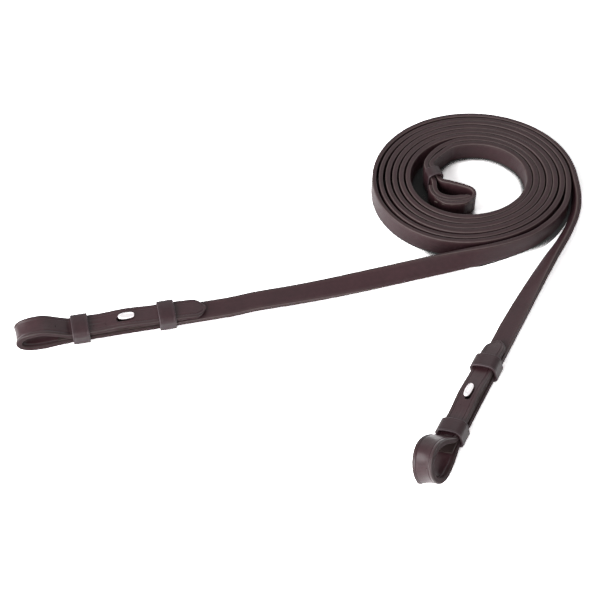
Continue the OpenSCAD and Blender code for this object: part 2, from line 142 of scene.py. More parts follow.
def lead(near, next_one, heading, sign):
    """The point beyond the end of a route that gives it its heading there."""
    reach = 2 * math.hypot(next_one[0] - near[0], next_one[1] - near[1]) * direction(heading)
    return [next_one[0] + sign * reach[0], next_one[1] + sign * reach[1], near[2], near[3]]


def rounded_leg(a, b, c, d, u):
    """Place and slope at share u of the way from b to c, on a smooth curve through all four."""
    even = a - 2.5 * b + 2 * c - d / 2
    odd = 1.5 * (b - c) + (d - a) / 2
    place = b + u / 2 * (c - a) + u * u * even + u**3 * odd
    slope = (c - a) / 2 + 2 * u * even + 3 * u * u * odd
    return place, slope


RINGS_A_LEG = 9


def route_stations(points, start, end, thick_start, thick_end):
    """A smooth route through points x, y, roll, lift, with its headings at both ends given."""
    every = [lead(points[0], points[1], start, -1)] + list(points)
    every = np.array(every + [lead(points[-1], points[-2], end, 1)], float)
    legs = len(points) - 1
    found = []
    for i in range(legs):
        for k in range(RINGS_A_LEG):
            u = k / RINGS_A_LEG
            place, slope = rounded_leg(*every[i : i + 4], u)
            heading = start if i + k == 0 else math.degrees(math.atan2(slope[1], slope[0]))
            thick = thick_start + (thick_end - thick_start) * (i + u) / legs
            found.append([place[0], place[1], heading, place[2], max(0, place[3]), thick])
    last = points[-1]
    found.append([last[0], last[1], end, last[2], last[3], thick_end])
    return found


# Both straps go side by side through the centre keeper, a little above the floor
CENTRE_KEEPER_AT = np.array([-24.0, 2.2])
CENTRE_KEEPER_HEADING = 108.0
CENTRE_LIFT = 1.7
CENTRE_STRAIGHT = 5.2
STRAND_HALF = 2.1
JOIN_THICK = 3.2


def keeper_gate(offset, way, roll):
    p = CENTRE_KEEPER_AT + offset * side(CENTRE_KEEPER_HEADING) + way * direction(CENTRE_KEEPER_HEADING)
    return [p[0], p[1], roll, CENTRE_LIFT]


def leave_keeper(offset, roll, spread, coil):
    """Stations from the centre keeper to the inner end of the coil."""
    entry = [coil[0][0], coil[0][1], coil[0][3], 0]
    gate = keeper_gate(offset, CENTRE_STRAIGHT, roll)
    return route_stations([gate, *spread, entry], CENTRE_KEEPER_HEADING, coil[0][2], JOIN_THICK, STRAP_THICK)


# Where each billet lies: tip x, tip y, heading from its tip to its loop, roll about that heading, lift
LEFT_POSE = (-170.5, -108.8, 192.1, -8.0, 0.0)
RIGHT_POSE = (9.3, -137.5, 243.8, 18.0, 1.7)
HANDS = (("left", LEFT_POSE), ("right", RIGHT_POSE))
# A billet rests on its keepers, which stand out this far under it and beside it
KEEPER_UNDER = 1.8
KEEPER_HALF_WIDTH = STRAP_WIDTH / 2 + KEEPER_UNDER


def rolled(heading, roll):
    """The directions across a strap and away from its underside."""
    c, s = math.cos(math.radians(roll)), math.sin(math.radians(roll))
    n = side(heading)
    return np.array([n[0] * c, n[1] * c, s]), np.array([-n[0] * s, -n[1] * s, c])


def half_height(across, away, thick):
    return STRAP_WIDTH / 2 * abs(across[2]) + thick / 2 * abs(away[2])


def billet_axes(pose):
    """Origin at the tongue's tip, and the directions along, across and away from the strap's underside."""
    x, y, heading, roll, lift = pose
    across, away = rolled(heading, roll)
    high = lift + KEEPER_HALF_WIDTH * abs(across[2]) + KEEPER_UNDER * away[2]
    along = np.array([*direction(heading), 0])
    return np.array([x + HOME[0], y + HOME[1], high]), along, across, away


def billet_end(pose, way):
    """Point x, y, roll, lift of the strap's end, this far from the tongue's tip."""
    origin, along, across, away = billet_axes(pose)
    p = origin + way * along + STRAP_THICK / 2 * away
    return [p[0] - HOME[0], p[1] - HOME[1], pose[3], p[2] - half_height(across, away, STRAP_THICK)]


# The strap lies straight from just before the billet to under the middle of the tip keeper
BILLET_LEAD = 12.0
BILLET_STEP = 3.0
STRAP_UNDER_TONGUE = 24.0


def run_stations(coil, route, pose):
    """Stations from the outer end of the coil, along the route, and on under the tongue."""
    out = coil[-1]
    points = [[out[0], out[1], out[3], 0], *route, billet_end(pose, -BILLET_LEAD)]
    found = route_stations(points, out[2], pose[2], STRAP_THICK, STRAP_THICK)
    for way in np.arange(BILLET_STEP - BILLET_LEAD, STRAP_UNDER_TONGUE + BILLET_STEP / 2, BILLET_STEP):
        x, y, roll, lift = billet_end(pose, way)
        found.append([x, y, pose[2], roll, lift, STRAP_THICK])
    return found


# A strap's outline: how pale its corners and creases are, from burnish and a painted highlight, and how many
# points a face has
CORNER_BURNISH_AND_HIGHLIGHT = (0.1, 0.5, 1.0, 0.5, 0.1)
CREASE_BURNISH_AND_HIGHLIGHT = (0.2, 0.0, 0.1)
PLAIN_BURNISH = 0.2
CREASE_WIDE = 0.35
FACE_POINTS = 24
EDGE_BULGE = 0.05
# Its most rounding, as shares of its width and thickness, and how far plain and creased faces reach
ROUNDED_WIDTH = 0.6
ROUNDED_THICK = 0.8
PLAIN_REACH = 0.95
CREASED_REACH = 0.85
# Points in half of the outline, and the sides of it that are the strap's two cut edges
HALF_OUTLINE = 1 + 2 * len(CORNER_BURNISH_AND_HIGHLIGHT) + FACE_POINTS
CUT_EDGES = (0, HALF_OUTLINE - 1, HALF_OUTLINE, 2 * HALF_OUTLINE - 1)


def strap_section(half_width, half_thick, rounding, crease_in, crease_deep, cut_edge=0.0):
    """Closed outline of a strap's section: u across, v through, and how pale the leather is there, from
    burnish and a painted highlight.
    """
    r = min(rounding, ROUNDED_WIDTH * half_width, ROUNDED_THICK * half_thick)
    bulge = EDGE_BULGE * half_thick
    groove = half_width - crease_in
    points = []

    def corner(cu, cv, first):
        for k, wear_and_highlight in enumerate(CORNER_BURNISH_AND_HIGHLIGHT):
            a = math.radians(first + 90 / (len(CORNER_BURNISH_AND_HIGHLIGHT) - 1) * k)
            points.append((cu + r * math.cos(a), cv + r * math.sin(a), wear_and_highlight))

    def face(sign):
        v = sign * half_thick
        if groove <= 2 * CREASE_WIDE:
            for share in np.linspace(PLAIN_REACH, -PLAIN_REACH, FACE_POINTS):
                points.append((sign * share * (half_width - r), v, PLAIN_BURNISH))
            return
        deep = sign * (half_thick - crease_deep)
        across = (groove + CREASE_WIDE, groove, groove - CREASE_WIDE)
        crease = list(zip(across, (v, deep, v), CREASE_BURNISH_AND_HIGHLIGHT))
        for u, height, wear_and_highlight in crease:
            points.append((sign * u, height, wear_and_highlight))
        for share in np.linspace(CREASED_REACH, -CREASED_REACH, FACE_POINTS - 2 * len(crease)):
            points.append((sign * groove * share, v, 0.0))
        for u, height, wear_and_highlight in crease[::-1]:
            points.append((-sign * u, height, wear_and_highlight))

    points.append((half_width + bulge, 0, cut_edge))
    corner(half_width - r, half_thick - r, 0)
    face(1)
    corner(r - half_width, half_thick - r, 90)
    points.append((-half_width - bulge, 0, cut_edge))
    corner(r - half_width, r - half_thick, 180)
    face(-1)
    corner(half_width - r, r - half_thick, 270)
    return np.array(points)


SHARP_ANGLE = 50


def skin_mesh(name, rings, burnish_and_highlight=None, closed=False, cut_edges=()):
    """One skin over rings of points in millimetres, with the leather's wear and painted highlight as an
    attribute.
    """
    rings = np.array(rings, float)
    count, around = rings.shape[:2]
    faces = []
    for i in range(count if closed else count - 1):
        j = (i + 1) % count
        for k in range(around):
            m = (k + 1) % around
            faces.append((i * around + k, i * around + m, j * around + m, j * around + k))
    if not closed:
        faces.append(tuple(range(around)))
        faces.append(tuple(range((count - 1) * around, count * around)))
    mesh = bpy.data.meshes.new(name)
    mesh.from_pydata((rings.reshape(-1, 3) * MM).tolist(), [], faces)
    # The cut edges take the piece's second material
    for i, polygon in enumerate(mesh.polygons):
        polygon.material_index = 1 if i % around in cut_edges else 0
    wear_and_highlight = mesh.attributes.new("burnish_and_highlight", "FLOAT", "POINT")
    if burnish_and_highlight is not None:
        wear_and_highlight.data.foreach_set("value", np.array(burnish_and_highlight, np.float32).reshape(-1))
    skin = bmesh.new()
    skin.from_mesh(mesh)
    bmesh.ops.recalc_face_normals(skin, faces=skin.faces)
    skin.to_mesh(mesh)
    skin.free()
    mesh.polygons.foreach_set("use_smooth", [True] * len(mesh.polygons))
    mesh.set_sharp_from_angle(angle=math.radians(SHARP_ANGLE))
    piece = bpy.data.objects.new(name, mesh)
    scene.collection.objects.link(piece)
    return piece


# How far a strap's corners are rounded, at most and as a share of its thickness, and its pale edge's width,
# pale from burnish and a painted highlight
MOST_ROUNDING = 0.75
ROUNDED_SHARE = 0.31
STRAP_CREASE_IN = 1.9


def strap_rings(stations):
    """Rings round a strap, their burnish and painted highlight, and its middle line in metres."""
    rings, burnish_and_highlight, centres = [], [], []
    for x, y, heading, roll, lift, thick in stations:
        across, away = rolled(heading, roll)
        centre = np.array([x + HOME[0], y + HOME[1], lift + half_height(across, away, thick)])
        rounding = min(MOST_ROUNDING, ROUNDED_SHARE * thick)
        outline = strap_section(STRAP_WIDTH / 2, thick / 2, rounding, STRAP_CREASE_IN, 0.0)
        rings.append(centre + outline[:, :1] * across + outline[:, 1:2] * away)
        burnish_and_highlight.append(outline[:, 2])
        centres.append(centre * MM)
    return rings, burnish_and_highlight, centres


# Points x, y, roll, lift of the straps' free stretches, and of their bends on both sides of the centre keeper
LEFT_ROUTE = [
    [60.8, -20.2, -90, 0], [52.8, -34.2, -90, 0], [43.6, -43.8, -90, 0], [34, -51, -90, 0],
    [21, -57.4, -86, 0], [7.5, -62.5, -79, 0], [-7, -66.8, -68, 0], [-22.8, -71.2, -57, 0],
    [-40, -75.8, -46, 0], [-63.6, -82.2, -32, 0.3], [-88.6, -88.8, -19, 0.8],
    [-113.4, -95, -11, 1.4], [-137.8, -100.6, -8, 1.9],
]
RIGHT_ROUTE = [
    [69.3, -2, 90, 0], [68.6, -14, 82, 0], [66.2, -26, 73, 0], [62.2, -37.2, 67, 0.2],
    [55.2, -51.2, 60, 0.6], [47.2, -64.6, 52, 1.1], [38.4, -80.4, 43, 1.8], [30.1, -95.8, 34, 2.6],
    [22, -111.2, 25, 3.3],
]
LEFT_BEND = [
    [1.7, -14.2, -90, 0.2], [0.2, -10.4, -90, 0.5], [-3.8, -8.3, -90, 0.8],
    [-8.4, -6.7, -90, 1.1], [-13.2, -5.3, -90, 1.4],
]
LEFT_SPREAD = [[-25, 12.6, -90, 1], [-22.4, 18, -90, 0.6], [-17.4, 24, -90, 0.2]]
RIGHT_JOIN = [
    [-1.5, -15.2, 90, 0], [-6.3, -17, 90, 0], [-11.5, -17.9, 90, 0], [-17, -17.2, 90, 0],
    [-21.6, -14.7, 90, 0.2], [-23.9, -10.4, 90, 0.8],
]
RIGHT_SPREAD = [[-28.3, 13, 90, 1], [-25.7, 19.6, 90, 0.6], [-21.2, 26, 90, 0.3], [-15, 31.8, 90, 0]]
RIGHT_JOIN_HEADING = 200

# The left strap is wound one layer inside the right one, and each has its own waves
LEFT_COIL_TURNS = (0, 1188)
RIGHT_COIL_TURNS = (9, 1179)
LEFT_PHASE = 40
RIGHT_PHASE = 150
INNER_RADIUS = COIL_RADIUS - LAYER_PITCH
left_coil = coil_stations(*LEFT_COIL_TURNS, INNER_RADIUS, COIL_RADIUS, -90, LEFT_PHASE)
right_coil = coil_stations(*RIGHT_COIL_TURNS, COIL_RADIUS, INNER_RADIUS, 90, RIGHT_PHASE)
right_join = route_stations(
    [*RIGHT_JOIN, keeper_gate(STRAND_HALF, -CENTRE_STRAIGHT, 90)],
    RIGHT_JOIN_HEADING, CENTRE_KEEPER_HEADING, JOIN_THICK, JOIN_THICK,
)
join_line = list(right_join)


def join_place(i, out):
    """Station at a ring of the right strap's sewn end, moved outwards, without its thickness."""
    x, y, heading, roll, lift = join_line[i][:5]
    p = np.array([x, y]) + out * side(heading)
    return [p[0], p[1], heading, roll, lift]


# A sewn end is skived, which pares it down to a thin edge over its last rings
SKIVED_END = 0.2
SKIVED_STEP = 0.08
SKIVED_RINGS = 10


def skived(rings_in):
    return min(1, SKIVED_END + SKIVED_STEP * rings_in)


for i in range(SKIVED_RINGS):
    thin = JOIN_THICK * skived(i)
    right_join[i] = [*join_place(i, (JOIN_THICK - thin) / 2), thin]

# The left strap's tail lies along the right strap's end, then turns back to the centre keeper
TAIL_RINGS = 48
TAIL_THICK = 2.2
SEAM_GAP = 0.1
TAIL_OUT = JOIN_THICK / 2 + SEAM_GAP + TAIL_THICK / 2
left_tail = []
for i in range(TAIL_RINGS, -1, -1):
    x, y, heading, roll, lift = join_place(i, TAIL_OUT)
    left_tail.append([x, y, heading - 180, -roll, lift, TAIL_THICK])
tail_end = left_tail[-1]
left_bend = route_stations(
    [[tail_end[0], tail_end[1], -90, 0], *LEFT_BEND, keeper_gate(-STRAND_HALF, -CENTRE_STRAIGHT, -90)],
    tail_end[2], CENTRE_KEEPER_HEADING, TAIL_THICK, JOIN_THICK,
)
left_strap = left_tail + left_bend[1:] + leave_keeper(-STRAND_HALF, -90, LEFT_SPREAD, left_coil)
left_strap += left_coil[1:] + run_stations(left_coil, LEFT_ROUTE, LEFT_POSE)[1:]
right_strap = right_join + leave_keeper(STRAND_HALF, 90, RIGHT_SPREAD, right_coil)
right_strap += right_coil[1:] + run_stations(right_coil, RIGHT_ROUTE, RIGHT_POSE)[1:]


def node_kit(tree):
    """A function that adds a node to the tree, sets its inputs by name or number, and returns it."""

    def add(kind, **settings):
        made = tree.nodes.new(kind)
        sockets = settings.pop("inputs", {})
        for name, value in settings.items():
            setattr(made, name, value)
        for name, value in sockets.items():
            if isinstance(value, bpy.types.NodeSocket):
                tree.links.new(value, made.inputs[name])
            else:
                made.inputs[name].default_value = value
        return made

    return add


def reckon(add, operation, *values):
    """The result of a Math node on these values."""
    return add("ShaderNodeMath", operation=operation, inputs=dict(enumerate(values))).outputs[0]


def bare_material(name):
    """A new material without nodes, and the function that adds them."""
    material = bpy.data.materials.new(name)
    material.use_nodes = True
    material.node_tree.nodes.clear()
    return material, node_kit(material.node_tree)


# The finish of waxed bridle leather: pebbled grain, clouded dye, and paler edges, from burnish and from a
# painted highlight along corners and creases
LEAST_TONE = 0.5
CLOUD_TONE = 0.55
MOTTLE_TONE = 0.45
CUT_DARKENS = 0.7
MOTTLE_DULLS = 0.22
BURNISH_DULLS = 0.08
PORE_SHARE = 0.5
leather_finish = bpy.data.node_groups.new("waxed_leather_finish", "ShaderNodeTree")
for name, way, kind in (
    ("Face Color", "INPUT", "NodeSocketColor"),
    ("Edge Color", "INPUT", "NodeSocketColor"),
    ("Burnish And Highlight", "INPUT", "NodeSocketFloat"),
    ("Grain Scale", "INPUT", "NodeSocketFloat"),
    ("Least Roughness", "INPUT", "NodeSocketFloat"),
    ("Color", "OUTPUT", "NodeSocketColor"),
    ("Roughness", "OUTPUT", "NodeSocketFloat"),
    ("Height", "OUTPUT", "NodeSocketFloat"),
):
    leather_finish.interface.new_socket(name, in_out=way, socket_type=kind)
add = node_kit(leather_finish)
given = add("NodeGroupInput").outputs
place = add("ShaderNodeTexCoord").outputs["Object"]
cloud = add("ShaderNodeTexNoise", inputs={"Vector": place, "Scale": 60.0, "Detail": 4.0, "Roughness": 0.6})
mottle = add("ShaderNodeTexNoise", inputs={"Vector": place, "Scale": 420.0, "Detail": 3.0, "Roughness": 0.55})
pebble = add(
    "ShaderNodeTexVoronoi", feature="SMOOTH_F1",
    inputs={"Vector": place, "Scale": given["Grain Scale"], "Smoothness": 0.6},
)
pores = add("ShaderNodeTexNoise", inputs={"Vector": place, "Scale": 3600.0, "Detail": 2.0})
tone = reckon(add, "MULTIPLY_ADD", cloud.outputs["Fac"], CLOUD_TONE, LEAST_TONE)
tone = reckon(add, "MULTIPLY_ADD", mottle.outputs["Fac"], MOTTLE_TONE, tone)
# Below 0 the burnish-and-highlight mark stands for a cut edge, which drinks in more of the dye
cut = reckon(add, "MINIMUM", given["Burnish And Highlight"], 0.0)
dark = reckon(add, "MULTIPLY_ADD", cut, CUT_DARKENS, 1.0)
tone = reckon(add, "MULTIPLY", tone, dark)
dyed = add(
    "ShaderNodeMix", data_type="RGBA",
    inputs={0: given["Burnish And Highlight"], 6: given["Face Color"], 7: given["Edge Color"]},
)
clouded = add("ShaderNodeVectorMath", operation="SCALE", inputs={0: dyed.outputs[2], "Scale": tone})
dull = reckon(add, "MULTIPLY_ADD", mottle.outputs["Fac"], MOTTLE_DULLS, given["Least Roughness"])
dull = reckon(add, "MULTIPLY_ADD", given["Burnish And Highlight"], BURNISH_DULLS, dull)
relief = reckon(add, "MULTIPLY_ADD", pores.outputs["Fac"], PORE_SHARE, pebble.outputs["Distance"])
add("NodeGroupOutput", inputs={"Color": clouded.outputs[0], "Roughness": dull, "Height": relief})


def leather(name, face, edge, least_roughness, shine=0.24, grain=1500.0, coat=0.05):
    """A leather with the shared finish, in its own browns, gloss and grain."""
    material, add = bare_material(name)
    wear_and_highlight = add("ShaderNodeAttribute", attribute_name="burnish_and_highlight")
    finish = add(
        "ShaderNodeGroup", node_tree=leather_finish,
        inputs={
            "Face Color": (*face, 1), "Edge Color": (*edge, 1), "Burnish And Highlight": wear_and_highlight.outputs["Fac"],
            "Grain Scale": grain, "Least Roughness": least_roughness,
        },
    ).outputs
    bump = add("ShaderNodeBump", inputs={"Strength": 0.25, "Distance": 0.0002, "Height": finish["Height"]})
    skin = add(
        "ShaderNodeBsdfPrincipled",
        inputs={
            "Base Color": finish["Color"], "Roughness": finish["Roughness"], "Normal": bump.outputs["Normal"],
            "Specular IOR Level": shine, "Coat Weight": coat, "Coat Roughness": 0.26,
        },
    )
    add("ShaderNodeOutputMaterial", inputs={"Surface": skin.outputs[0]})
    return material


# The edge brown is paler than the face, for burnish and as a painted highlight along corners and crease edges
FACE_BROWN = (0.0385, 0.0163, 0.0195)
CUT_BROWN = (0.038, 0.0185, 0.021)
EDGE_BROWN_AND_HIGHLIGHT = (0.1, 0.075, 0.072)
rein_leather = leather("rein_leather", FACE_BROWN, EDGE_BROWN_AND_HIGHLIGHT, 0.33)
rein_cut_edge = leather("rein_cut_edge", CUT_BROWN, EDGE_BROWN_AND_HIGHLIGHT, 0.42, shine=0.2)
for name, stations, nodes in (
    ("left_rein_strap", left_strap, ("left_centre_run", "left_rein_coil", "left_rein_run")),
    ("right_rein_strap", right_strap, ("right_centre_run", "right_rein_coil", "right_rein_run")),
):
    rings, burnish_and_highlight, centres = strap_rings(stations)
    strap = skin_mesh(name, rings, burnish_and_highlight, cut_edges=CUT_EDGES)
    strap.data.materials.append(rein_leather)
    strap.data.materials.append(rein_cut_edge)
    steps = np.diff(np.array(centres), axis=0)
    length = float(np.sqrt((steps**2).sum(1)).sum())
    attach(strap, "reins")
    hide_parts(*nodes)

# Billets
# The bit end of each rein, folded back on itself: strap end, open bit loop, and pointed tongue.
# The fold is dished across its width, and the tongue is slit so that it buttons over the hook stud.
TONGUE_THICK = 3.2
TONGUE_UNDER = 5.3
STACK_HIGH = 8.5
NECK_X = 82.2
NECK_LEAD = 4.0
LOOP_WALL = 3.9
# Where each tongue starts, and how far its loop is hollow across
LEFT_TIP, LEFT_DISH = -1.2, 0.7
RIGHT_TIP, RIGHT_DISH = 1.6, 1.0
# Places that each loop's middle line goes through, from the strap round to the tongue: the left loop,
# then the right loop along its near edge and along its far edge, which lies fuller on the floor
LEFT_LOOP = [
    (86.5, 1.5), (91.0, 0.9), (96.0, 0.2), (101.0, 0.0), (106.0, 0.3), (110.3, 1.9), (112.8, 5.2),
    (112.9, 9.0), (110.5, 12.1), (106.4, 13.8), (102.0, 14.4), (98.0, 14.3), (94.8, 13.2), (91.5, 11.6),
    (88.2, 9.8), (85.0, 8.2),
]
RIGHT_NEAR_LOOP = [
    (86.0, 0.6), (90.5, -0.8), (95.5, -1.9), (100.5, -2.1), (105.4, -0.9), (109.7, 2.4), (112.6, 7.0),
    (113.6, 11.8), (112.6, 16.4), (109.6, 19.9), (105.0, 21.3), (100.0, 20.7), (95.0, 18.0), (90.4, 14.5),
    (86.2, 10.4),
]
RIGHT_FAR_LOOP = [
    (86.0, 0.6), (90.5, -0.8), (96.0, -1.7), (102.0, -2.0), (107.6, -2.0), (111.3, 0.6), (112.6, 5.4),
    (112.7, 10.2), (111.4, 15.0), (108.2, 19.2), (103.9, 21.3), (99.0, 20.7), (94.4, 18.2), (90.0, 14.7),
    (86.2, 10.4),
]
LOOP_RINGS_A_LEG = 6


def smooth_line(points):
    """A rounded line from the second point to the last but one."""
    points = np.array(points, float)
    found = []
    for leg in zip(points[:-3], points[1:-2], points[2:-1], points[3:]):
        for u in np.arange(LOOP_RINGS_A_LEG) / LOOP_RINGS_A_LEG:
            found.append(rounded_leg(*leg, u)[0])
    return found


STUD_AT = 47.6
BOW_RISE = 1.2
BOW_HALF = 17.0


def bow(x):
    """Height by which the tongue bows up where the stud holds it."""
    away = min(1.0, abs(x - STUD_AT) / BOW_HALF)
    return BOW_RISE * math.cos(math.pi / 2 * away) ** 2


SETTLE_DOWN = 1.7
SETTLE_FROM = 20
SETTLE_TO = 2
SETTLE_POWER = 1.8


def settle(x):
    """Way that the tongue settles down on the strap towards its tip."""
    return SETTLE_DOWN * part_way(x, SETTLE_FROM, SETTLE_TO) ** SETTLE_POWER


# Rings of the strap end and of the tongue, and the closer ones of the tongue's nose, from its tip
STRAP_END_RINGS = 40
TONGUE_RINGS = 70
NOSE_FROM = 11
NOSE_RINGS = (9.8, 8.6, 7.4, 6.2, 5, 4, 3, 2.2, 1.5, 0.9, 0.45, 0.15, 0)
# The loop's line is eased this many times, from just before the neck
EASINGS = 6
EASED_BEFORE = 0.3


def billet_line(loop, tip_x):
    """Middle line of the folded leather, in the plane along and away from the strap."""
    low = STRAP_THICK / 2
    high = TONGUE_UNDER + TONGUE_THICK / 2
    line = [(x, low) for x in np.linspace(STRAP_UNDER_TONGUE, NECK_X, STRAP_END_RINGS)[:-1]]
    way_in = [(NECK_X - NECK_LEAD, low), (NECK_X, low)]
    way_out = [(NECK_X, high), (NECK_X - NECK_LEAD, high)]
    line += smooth_line([*way_in, *loop, *way_out])
    for x in np.linspace(NECK_X, tip_x + NOSE_FROM, TONGUE_RINGS):
        line.append((x, high + bow(x) - settle(x - tip_x)))
    for x in NOSE_RINGS:
        line.append((x + tip_x, high - settle(x)))
    line = np.array(line)
    for _ in range(EASINGS):
        bent = line[:, 0] > NECK_X - EASED_BEFORE
        eased = (line[:-2] + 2 * line[1:-1] + line[2:]) / 4
        line[1:-1][bent[1:-1]] = eased[bent[1:-1]]
    return line


# The tip is a pointed arch, filled out a little, with a rounded nose
TIP_SIDE_RADIUS = 13.0
TIP_FULLER = 0.9
NOSE_HALF_WIDTH = 3.1
NOSE_RADIUS = 3.2
NOSE_END = 1.6
LEAST_HALF_WIDTH = 0.12


def tongue_half_width(x):
    full = STRAP_WIDTH / 2
    tip_length = math.sqrt(TIP_SIDE_RADIUS**2 - (TIP_SIDE_RADIUS - full) ** 2)
    if x >= tip_length:
        return full
    wide = math.sqrt(TIP_SIDE_RADIUS**2 - (tip_length - x) ** 2) - (TIP_SIDE_RADIUS - full) + TIP_FULLER
    if x < NOSE_END:
        wide = min(wide, NOSE_HALF_WIDTH * math.sqrt(max(0.0, 1 - (1 - x / NOSE_RADIUS) ** 2)))
    return max(LEAST_HALF_WIDTH, min(wide, full))


# Past this slope the leather has turned back, and is tongue
TURNED_BACK = -0.2
# Share of its thickness that the tongue has at its tip, and the length over which it and the loop thicken
TIP_THIN = 0.55
TIP_THICKENS = 8
LOOP_THICKENS = 14
# The rounding, the crease along both edges, and the cut edge, which is darker than the face
BILLET_ROUNDING = 0.8
BILLET_CREASE_IN = 2.3
BILLET_CREASE_DEEP = 0.3
BILLET_CUT = -0.4
# The tongue is pinched into three lengthwise creases between the stud and the bit keeper
PINCH_AT = 66
PINCH_LENGTH = 5
PINCH_WIDE = 0.45
PINCHES = ((-2.6, 0.2), (0.4, 0.28), (2.9, 0.2))


def billet_rings(pose, near_loop, far_loop, tip_x, dish):
    """Rings round the folded leather, and their burnish and painted highlight."""
    origin, along, across, away = billet_axes(pose)
    near, far = billet_line(near_loop, tip_x), billet_line(far_loop, tip_x)
    line = (near + far) / 2
    end_x = line[:, 0].max()
    ahead = np.gradient(line, axis=0)
    ahead /= np.linalg.norm(ahead, axis=1)[:, None]
    turned = False
    rings, burnish_and_highlight = [], []
    for p, t, spread in zip(line, ahead, near - far):
        turned = turned or t[0] < TURNED_BACK
        half_width, thick = STRAP_WIDTH / 2, STRAP_THICK
        if turned:
            half_width = tongue_half_width(p[0] - tip_x)
            thick = TONGUE_THICK * (TIP_THIN + (1 - TIP_THIN) * part_way(p[0] - tip_x, 0, TIP_THICKENS))
        thick += (LOOP_WALL - thick) * part_way(p[0], NECK_X, NECK_X + LOOP_THICKENS)
        section = strap_section(
            half_width, thick / 2, BILLET_ROUNDING, BILLET_CREASE_IN, BILLET_CREASE_DEEP, BILLET_CUT,
        )
        u, v = section[:, 0], section[:, 1]
        fold = part_way(p[0], NECK_X + NECK_LEAD, end_x - NECK_LEAD)
        through = v - dish * fold * fold * (3 - 2 * fold) * (1 - (u / (STRAP_WIDTH / 2)) ** 2)
        if turned:
            pinch = np.exp(-(((p[0] - PINCH_AT) / PINCH_LENGTH) ** 2))
            for at, deep in PINCHES:
                through = through - deep * pinch * np.exp(-(((u - at) / PINCH_WIDE) ** 2)) * (v > 0)
        x = p[0] + u / STRAP_WIDTH * spread[0] + through * t[1]
        z = p[1] + u / STRAP_WIDTH * spread[1] - through * t[0]
        rings.append(origin + x[:, None] * along + u[:, None] * across + z[:, None] * away)
        burnish_and_highlight.append(section[:, 2])
    return rings, burnish_and_highlight


def settled_mesh(piece):
    """The piece with its modifiers applied, as a plain mesh."""
    seen = bpy.context.evaluated_depsgraph_get()
    made = bpy.data.meshes.new_from_object(piece.evaluated_get(seen))
    piece.modifiers.clear()
    piece.data = made
    return piece


SLIT_FROM = 46.6
SLIT_TO = 53.7
SLIT_HALF = 1.9
SLIT_ACROSS = 0.9
SLIT_BELOW = 0.15
SLIT_ABOVE = 1.0


def slit_cutter(pose):
    """A round-ended bar through the tongue, from the stud's neck towards the loop."""
    origin, along, across, away = billet_axes(pose)
    outline = []
    for middle, first in ((SLIT_FROM, 90), (SLIT_TO - SLIT_HALF, -90)):
        for angle in range(first, first + 181, 15):
            outline.append(np.array([middle, SLIT_ACROSS]) + SLIT_HALF * direction(angle))
    rings = []
    for z in (TONGUE_UNDER - SLIT_BELOW, STACK_HIGH + BOW_RISE + SLIT_ABOVE):
        rings.append([origin + x * along + y * across + z * away for x, y in outline])
    return skin_mesh("slit_cutter", rings)


# Sides of the strap's outline that are the rounded corners on the fold's inside
CORNER_SIDES = len(CORNER_BURNISH_AND_HIGHLIGHT) - 1
INNER_CORNERS = (
    *range(HALF_OUTLINE + 1, HALF_OUTLINE + 1 + CORNER_SIDES),
    *range(2 * HALF_OUTLINE - 1 - CORNER_SIDES, 2 * HALF_OUTLINE - 1),
)
BILLET_BROWN = (0.041, 0.0172, 0.0207)
BILLET_EDGE_BROWN = (0.034, 0.024, 0.023)
billet_leather = leather("billet_leather", BILLET_BROWN, BILLET_EDGE_BROWN, 0.21, coat=0.2)
billet_cut_edge = leather("billet_cut_edge", CUT_BROWN, BILLET_EDGE_BROWN, 0.5, shine=0.13, coat=0.0)
for hand, pose, near_loop, far_loop, tip_x, dish in (
    ("left", LEFT_POSE, LEFT_LOOP, LEFT_LOOP, LEFT_TIP, LEFT_DISH),
    ("right", RIGHT_POSE, RIGHT_NEAR_LOOP, RIGHT_FAR_LOOP, RIGHT_TIP, RIGHT_DISH),
):
    rings, burnish_and_highlight = billet_rings(pose, near_loop, far_loop, tip_x, dish)
    billet = skin_mesh(hand + "_folded_billet", rings, burnish_and_highlight, cut_edges=CUT_EDGES + INNER_CORNERS)
    billet.data.materials.append(billet_leather)
    billet.data.materials.append(billet_cut_edge)
    cutter = slit_cutter(pose)
    slit = billet.modifiers.new("slit", "BOOLEAN")
    slit.operation = "DIFFERENCE"
    slit.solver = "EXACT"
    slit.object = cutter
    settled_mesh(billet)
    bpy.data.objects.remove(cutter)
    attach(billet, "reins")
    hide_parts(hand + "_billet")

# Stud linings
# A thin strip of softer leather under each tongue, sewn on the strap over the stud's base plate.
# Its end stands free inside the bit loop, and droops a little.
LINING_FROM = 14.0
LINING_TO = 90.0
LINING_RINGS = 46
LINING_THICK = 1.4
LINING_IN = 0.8
LINING_ROUNDING = 0.4
LINING_CREASE_IN = 1.6
LINING_DROOP = 0.6
LINING_BROWN = (0.030, 0.018, 0.017)
LINING_EDGE_BROWN = (0.040, 0.028, 0.025)
lining_leather = leather("lining_leather", LINING_BROWN, LINING_EDGE_BROWN, 0.5, grain=1100.0, coat=0.0)
lining_section = strap_section(
    STRAP_WIDTH / 2 - LINING_IN, LINING_THICK / 2, LINING_ROUNDING, LINING_CREASE_IN, 0.0,
)
for hand, pose in HANDS:
    origin, along, across, away = billet_axes(pose)
    rings = []
    for x in np.linspace(LINING_FROM, LINING_TO, LINING_RINGS):
        droop = LINING_DROOP * part_way(x, NECK_X, LINING_TO) ** 2
        z = STRAP_THICK + LINING_THICK / 2 - droop + lining_section[:, 1]
        rings.append(origin + x * along + lining_section[:, :1] * across + z[:, None] * away)
    lining = skin_mesh(hand + "_lining_strip", rings, [lining_section[:, 2]] * LINING_RINGS)
    lining.data.materials.append(lining_leather)
    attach(lining, "reins")
    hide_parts(hand + "_stud_lining")

